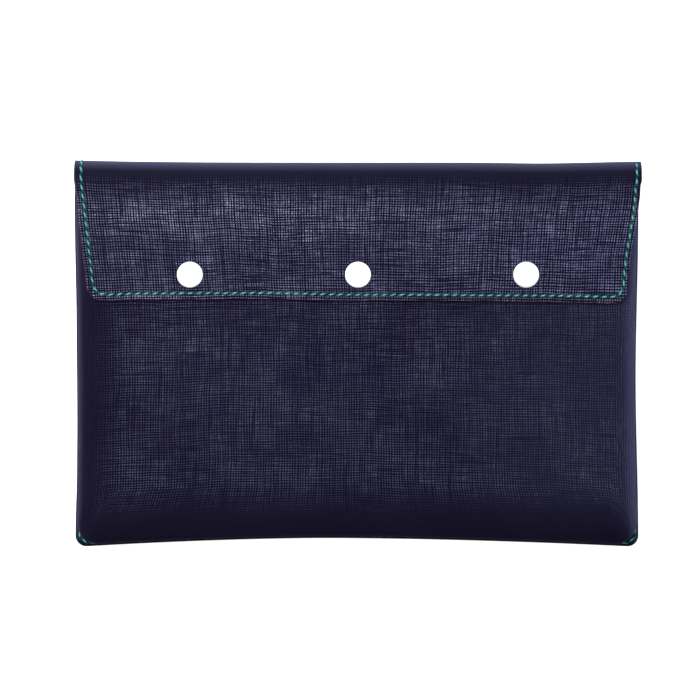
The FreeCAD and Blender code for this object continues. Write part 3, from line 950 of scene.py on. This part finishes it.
# linear colours, where a pair is the two ends of a tone that varies
GROOVE_TONES = (0.0035, 0.0022, 0.0120), (0.0050, 0.0035, 0.0160)
PLAIN_TONES = (0.082, 0.078, 0.137), (0.154, 0.153, 0.226)
# painted highlight, painted glints and painted light from the right-hand lamp on the flap's
# crests
FLAP_HIGHLIGHT_TONES = (0.168, 0.168, 0.292), (0.262, 0.274, 0.410)
BAND_HIGHLIGHT_TONE = (0.440, 0.460, 0.680)
GLINT_TONE = (0.580, 0.620, 0.860)
FLAP_RIGHT_LIGHT_TONE = (0.320, 0.322, 0.585)
MARGIN_HIGHLIGHT_TONES = (0.410, 0.410, 0.570), (0.270, 0.220, 0.340)
FOLD_HIGHLIGHT_AND_TONE = (0.0350, 0.0370, 0.0640), (0.0056, 0.0046, 0.0120)
FRONT_RIGHT_LIGHT_TONE = (0.018, 0.017, 0.040)
SHOULDER_SHADE_TONE = (0.0048, 0.0034, 0.0110)
RIM_REFLECTION_TONE = (0.040, 0.040, 0.078)
PAINT_TONES = (0.016, 0.011, 0.026), (0.16, 0.075, 0.035)

# the embossed lines that run up the cut and across it: seed, pitch, least and greatest depth
UPRIGHT_LINES = (5.0, 1.28, 0.4, 0.8)
LEVEL_LINES = (77.0, 1.21, 0.4, 0.85)
EMBOSS_DEPTH = 0.00009


def drawn_out(graph, across, along, across_scale, along_scale, layer=0.0):
    """Noise coordinates with their own scales across the lines and along them."""
    a = graph.times(across, across_scale)
    b = graph.times(along, along_scale)
    return graph.node("CombineXYZ", (a, b, layer))


def hatching(graph, across, along, seed, pitch, shallow, deep):
    """One family of embossed lines: how near a crest is, and how deep its grooves are."""

    def uneven(across_scale, along_scale, offset, detail):
        vector = drawn_out(graph, across, along, across_scale, along_scale)
        vector = graph.node("VectorMath", (vector, (offset, seed, 0.0)), operation="ADD")
        return graph.noise(vector, 1.0, detail, flat=True)

    # neighbouring lines wander together, and their spacing is uneven
    wander = uneven(0.005, 0.04, 3.1, 1.0)
    jitter = uneven(0.45, 0.04, 17.7, 1.0)
    phase = graph.math("DIVIDE", across, pitch)
    phase = graph.math("MULTIPLY_ADD", wander, 1.2, phase)
    phase = graph.math("MULTIPLY_ADD", jitter, 0.55, phase)
    wave = graph.math("COSINE", graph.times(phase, 2 * math.pi))
    crest = graph.math("MULTIPLY_ADD", wave, 0.5, 0.5)
    return crest, graph.span(uneven(0.6, 0.07, 41.3, 2.0), 0.34, 0.58, shallow, deep)


def embossing(graph, u, v):
    """Height of the cross-hatch: 1 where crests cross, and lower in the grooves."""
    sunk = []
    for family in ((u, v, *UPRIGHT_LINES), (v, u, *LEVEL_LINES)):
        crest, depth = hatching(graph, *family)
        valley = graph.rest(crest)
        sunk.append(graph.times(graph.math("POWER", valley, 0.8), depth))
    return graph.rest(graph.math("MAXIMUM", *sunk))


def scratches(graph, across, along, layer):
    """Long fine lines where a groove of the embossing is pressed deeper."""
    vector = drawn_out(graph, across, along, 1.5, 0.03, layer)
    return graph.span(graph.noise(vector, 1.0, 1.0), 0.60, 0.68, 0.0, 0.8)


def crest_tones(graph, cut, cloud, lit_flap):
    """Colour of the crests: plain, or on the flap painted light with painted highlight and
    painted glints.
    """
    u, v, _ = graph.split(cut)
    # painted highlight: the flap's crests are painted light, brightest in a band below the fold
    past_band = graph.span(v, FLAP_START + 17.0, FLAP_START + 32.0)
    band = graph.math("SUBTRACT", graph.span(v, FLAP_START + 6.0, FLAP_START + 14.0), past_band)
    band = graph.times(band, graph.span(u, -110.0, 110.0, 0.7, 0.4))
    lit_crests = graph.mix(band, graph.mix(cloud, *FLAP_HIGHLIGHT_TONES), BAND_HIGHLIGHT_TONE)
    # painted glints in patches on the flap's crests, fewer below the bright band
    glints = graph.span(graph.noise(cut, 0.07, 2.0), 0.56, 0.72)
    glints = graph.times(glints, graph.span(past_band, 0.0, 1.0, 0.9, 0.5))
    lit_crests = graph.mix(glints, lit_crests, GLINT_TONE)
    # painted light: the flap's crests turn lighter and bluer to the right, as the cool right-hand
    # lamp lights them
    lit_crests = graph.mix(graph.span(u, 0.0, 110.0, 0.0, 0.65), lit_crests, FLAP_RIGHT_LIGHT_TONE)
    crests = graph.mix(lit_flap, graph.mix(cloud, *PLAIN_TONES), lit_crests)
    # painted highlight: beyond the sewn row the crests are painted lighter still, most on the
    # left
    margin = graph.times(lit_flap, graph.span(v, CUT_END - 3.4, CUT_END - 2.6))
    return graph.mix(margin, crests, graph.mix(graph.span(u, -70.0, 10.0), *MARGIN_HIGHLIGHT_TONES))


def leather_material():
    """Navy leather embossed with a cross-hatch, whose cut edges are painted."""
    graph = Graph("navy_crosshatch_leather")
    cut = graph.cut()
    u, v, paint = graph.split(cut)
    height = embossing(graph, u, v)
    # the grain is stretched flat round the fold, and over the tray's lower and left shoulders
    onto = graph.span(v, FOLD_Y - 4.0, FOLD_Y + 8.0)
    off = graph.span(v, FLAP_START - 3.5, FLAP_START + 3.0)
    fold = graph.math("SUBTRACT", onto, off)
    front_end = FRONT_ON_HIDE[1] + MOUTH_LENGTH
    on_front = graph.span(v, 200.0, 290.0)
    lower = graph.span(v, front_end - 27.0, front_end - 1.0)
    side = graph.times(graph.span(u, -112.0, -126.0), 0.55)
    shoulder = graph.times(on_front, graph.math("MAXIMUM", lower, side))
    stretched = graph.math("MULTIPLY_ADD", shoulder, 0.85, graph.times(fold, 0.5))
    level = graph.rest(stretched)
    # how much of a crest's colour shows: less in stretched grain and in scratches
    raised = graph.times(graph.span(height, 0.35, 1.0), level)
    sparkle = graph.span(graph.noise(cut, 0.9, 1.0), 0.38, 0.66, 0.7, 1.5)
    raised = graph.times(graph.math("POWER", raised, 2.9), sparkle)
    scored = graph.math("MAXIMUM", scratches(graph, u, v, 9.0), scratches(graph, v, u, 31.0))
    raised = graph.times(raised, graph.rest(scored))
    pores = graph.noise(cut, 3.0, 2.0)
    cloud = graph.span(graph.noise(cut, 0.03, 3.0), 0.35, 0.65)
    # painted highlight on the crests of the flap
    lit_flap = graph.span(v, FLAP_START + 1.5, FLAP_START + 13.0)
    lit_flap = graph.math("SUBTRACT", lit_flap, on_front)
    crests = crest_tones(graph, cut, cloud, lit_flap)
    # crests lighter than grooves: partly the grain's own colour, partly painted glints on the
    # crest tops
    grain = graph.mix(raised, graph.mix(cloud, *GROOVE_TONES), crests)
    # painted highlight round the fold near its outermost line, turning to the flattened grain's
    # plain dark tone towards the flap
    turning = graph.span(v, FLAP_START - 9.0, FLAP_START - 4.5)
    fold_highlight_and_tone = graph.mix(turning, *FOLD_HIGHLIGHT_AND_TONE)
    grain = graph.mix(graph.times(fold, 0.8), grain, fold_highlight_and_tone)
    # painted light: the front's grain is evened out to a lighter, bluer tone to the right, as the
    # right-hand lamp lights it; painted shade darkens its shoulders, and a painted reflection
    # lightens its rims
    upper = graph.times(on_front, graph.rest(lower))
    right_light = graph.times(upper, graph.span(u, 30.0, 125.0, 0.0, 0.45))
    grain = graph.mix(right_light, grain, FRONT_RIGHT_LIGHT_TONE)
    # painted shade darkens the front's lower and left shoulders
    grain = graph.mix(graph.times(shoulder, 0.65), grain, SHOULDER_SHADE_TONE)
    # painted reflection lightens the front along its side rims
    rims = graph.math("MAXIMUM", graph.span(u, -131.0, -135.0), graph.span(u, 127.0, 132.0))
    rims = graph.times(graph.times(rims, 0.6), upper)
    grain = graph.mix(rims, grain, RIM_REFLECTION_TONE)
    worn = graph.span(graph.noise(cut, 0.55, 2.0), 0.66, 0.72)
    colour = graph.mix(paint, grain, graph.mix(worn, *PAINT_TONES))
    # polished crests are glossy, and so is the fold from the back to its outermost line
    glossy_to = graph.span(v, FLAP_START - 14.0, FLAP_START - 8.0)
    glossy = graph.math("SUBTRACT", onto, glossy_to)
    worked = graph.math("MULTIPLY_ADD", glossy, 0.6, raised)
    smooth = graph.span(worked, 0.0, 0.8, 0.88, 0.24)
    rough = graph.math("MULTIPLY_ADD", pores, 0.08, smooth)
    relief = graph.times(graph.math("MULTIPLY_ADD", pores, 0.06, height), level)
    relief = graph.times(relief, graph.rest(paint))
    bump = graph.bump(1.0, EMBOSS_DEPTH, relief)
    material = graph.finish(
        Base_Color=colour,
        Roughness=rough,
        Normal=bump,
        Specular_IOR_Level=0.1,
        Specular_Tint=(0.74, 0.76, 1.0, 1),
        Sheen_Weight=0.08,
        Sheen_Roughness=0.4,
        Sheen_Tint=(0.42, 0.46, 1.0, 1),
    )
    return "navy_leather", material


def suede_material():
    """Short-nap lining, darker where the nap lies the other way."""
    graph = Graph("navy_suede")
    cut = graph.cut()
    nap = graph.noise(cut, 4.0, 4.0, 0.7)
    brushed = graph.span(graph.noise(cut, 0.05, 4.0, 0.6), 0.42, 0.58)
    light = graph.mix(nap, (0.020, 0.020, 0.036), (0.040, 0.040, 0.066))
    dark = graph.mix(nap, (0.014, 0.014, 0.026), (0.028, 0.028, 0.048))
    bump = graph.bump(0.8, 0.00012, nap)
    material = graph.finish(
        Base_Color=graph.mix(brushed, dark, light),
        Roughness=graph.span(nap, 0.2, 0.8, 0.8, 0.95),
        Normal=bump,
        Sheen_Weight=0.35,
        Sheen_Roughness=0.4,
    )
    return "lining_suede", material


def thread_material():
    """Bonded teal thread: two plies, with fine fibres along them, a painted highlight along each
    stitch's top and painted shade at its ends.
    """
    graph = Graph("teal_thread")
    along, turn, chance = graph.split(graph.cut())
    slant = graph.math("MULTIPLY_ADD", along, 0.30, turn)
    fibre = graph.node("CombineXYZ", (graph.times(slant, 6.0), along, chance))
    fibres = graph.span(graph.noise(fibre, 1.2, 2.0), 0.35, 0.7)
    end = graph.math("ABSOLUTE", graph.math("DIVIDE", along, PITCH / 2))
    # painted highlight along the top of each stitch, slanted like its plies
    top_highlight = graph.math("SINE", slant)
    top_highlight = graph.span(graph.math("MULTIPLY_ADD", fibres, 0.12, top_highlight), 0.86, 1.08)
    tint = graph.mix(chance, (0.001, 0.085, 0.068), (0.002, 0.112, 0.090))
    body = graph.mix(top_highlight, tint, (0.115, 0.58, 0.51))
    # painted shade where the thread dips into its holes
    colour = graph.mix(graph.span(end, 0.25, 0.65), body, (0.0, 0.042, 0.036))
    bump = graph.bump(0.6, 0.00005, fibres)
    material = graph.finish(
        Base_Color=colour,
        Roughness=graph.span(fibres, 0.0, 1.0, 0.6, 0.4),
        Normal=bump,
        Specular_IOR_Level=0.25,
    )
    return "teal_thread", material


def plastic_material():
    """Glossy white moulded plastic, with the slight unevenness of its mould."""
    graph = Graph("white_snap_plastic")
    cut = graph.cut()
    skin = graph.noise(cut, 1.4, 2.0)
    scuffs = graph.span(graph.noise(cut, 6.0, 3.0, 0.7), 0.62, 0.75)
    colour = graph.mix(scuffs, (0.93, 0.93, 0.925), (0.86, 0.86, 0.86))
    bump = graph.bump(0.3, 0.00003, skin)
    material = graph.finish(
        Base_Color=colour,
        Roughness=graph.span(skin, 0.2, 0.8, 0.2, 0.32),
        Normal=bump,
        Subsurface_Weight=0.15,
        Subsurface_Radius=(0.002, 0.002, 0.002),
        Subsurface_Scale=0.5,
    )
    return "white_snap_plastic", material


def board_material():
    """Dense fibre board."""
    graph = Graph("fibre_board")
    place = graph.node("TexCoord", output=3)
    fibres = graph.noise(place, 900.0, 5.0, 0.7)
    flecks = graph.span(graph.noise(place, 260.0, 3.0, 0.6), 0.58, 0.66)
    body = graph.mix(fibres, (0.20, 0.16, 0.12), (0.30, 0.25, 0.19))
    bump = graph.bump(0.4, 0.00005, fibres)
    material = graph.finish(
        Base_Color=graph.mix(flecks, body, (0.12, 0.09, 0.07)),
        Roughness=graph.span(fibres, 0.2, 0.8, 0.8, 0.95),
        Normal=bump,
    )
    return "stiffener_board", material


# ---------------------------------------------------------------- stage


def make_floor():
    mesh = bpy.data.meshes.new("floor")
    half, z = 6.0, -0.0004
    corners = [(-half, -half, z), (half, -half, z), (half, half, z), (-half, half, z)]
    mesh.from_pydata(corners, [], [(0, 1, 2, 3)])
    floor = bpy.data.objects.new("floor", mesh)
    bpy.context.scene.collection.objects.link(floor)
    graph = Graph("floor_white")
    seen = graph.node("LightPath", output="Is Camera Ray")
    mirrored = graph.node("LightPath", output="Is Glossy Ray")
    glow = graph.math("MULTIPLY_ADD", mirrored, 0.45, 0.1)
    material = graph.finish(
        Base_Color=(0.8, 0.8, 0.8, 1),
        Roughness=0.9,
        Emission_Color=(1, 1, 1, 1),
        Emission_Strength=graph.math("MULTIPLY_ADD", seen, 0.8, glow),
    )
    mesh.materials.append(material)


def area_light(name, place, target, size, power, colour, spread=180):
    data = bpy.data.lights.new(name, "AREA")
    data.shape = "RECTANGLE"
    data.size, data.size_y = size
    data.energy = power
    data.color = colour
    data.spread = math.radians(spread)
    light = bpy.data.objects.new(name, data)
    bpy.context.scene.collection.objects.link(light)
    light.location = place
    away = light.location - type(light.location)(target)
    light.rotation_euler = away.to_track_quat("Z", "Y").to_euler()


def make_lights():
    flap = (-0.03, 0.05, 0.018)
    area_light("key", (-0.2, 0.2, 1.1), flap, (0.4, 0.3), 8.5, (1.0, 1.0, 1.0))
    area_light("accent", (-0.3, 0.25, 1.0), (-0.06, 0.07, 0.018), (0.2, 0.2), 0.09, (1, 1, 1), 22)
    area_light("left", (-0.9, 0.05, 0.14), (0, 0, 0.01), (0.2, 0.8), 7, (1.0, 0.97, 1.0))
    area_light("right", (0.9, 0.05, 0.16), (0, 0, 0.01), (0.2, 0.8), 9, (0.74, 0.80, 1.0))
    area_light("behind", (0, 0.8, 0.12), (0, 0.09, 0.01), (1.2, 0.2), 7, (0.80, 0.85, 1.0))
    world = bpy.data.worlds.new("studio")
    world.use_nodes = True
    nodes, links = world.node_tree.nodes, world.node_tree.links
    # white to the camera, and dim to everything the studio lights
    seen = nodes.new("ShaderNodeLightPath").outputs["Is Camera Ray"]
    strength = nodes.new("ShaderNodeMapRange")
    links.new(seen, strength.inputs["Value"])
    strength.inputs["To Min"].default_value = 0.12
    strength.inputs["To Max"].default_value = 1.0
    background = nodes["Background"]
    background.inputs["Color"].default_value = (1, 1, 1, 1)
    links.new(strength.outputs["Result"], background.inputs["Strength"])
    bpy.context.scene.world = world
    bpy.context.scene.view_settings.view_transform = "Standard"


def make_camera():
    """Straight above the bag with a long lens, and +Y up in the picture."""
    view_width, lens, sensor = 0.3339, 250.0, 36.0
    aim_x, aim_y, aim_z = -0.0038, 0.00087, 0.012
    data = bpy.data.cameras.new("camera")
    data.lens, data.sensor_width = lens, sensor
    camera = bpy.data.objects.new("camera", data)
    bpy.context.scene.collection.objects.link(camera)
    camera.location = (aim_x, aim_y, view_width * lens / sensor + aim_z)
    data.clip_start, data.clip_end = 0.1, 20
    bpy.context.scene.camera = camera


# ---------------------------------------------------------------- all of it

make_camera()
leather, suede, thread = leather_material(), suede_material(), thread_material()
make_cover(leather, suede)
make_front(leather, suede)
make_stitches(thread)
make_snaps(plastic_material())
board_slot, board = board_material()
for node in ("back_stiffener", "flap_stiffener"):
    frame["nodes"][node].data.materials.clear()
    frame["nodes"][node].data.materials.append(board)
make_floor()
make_lights()
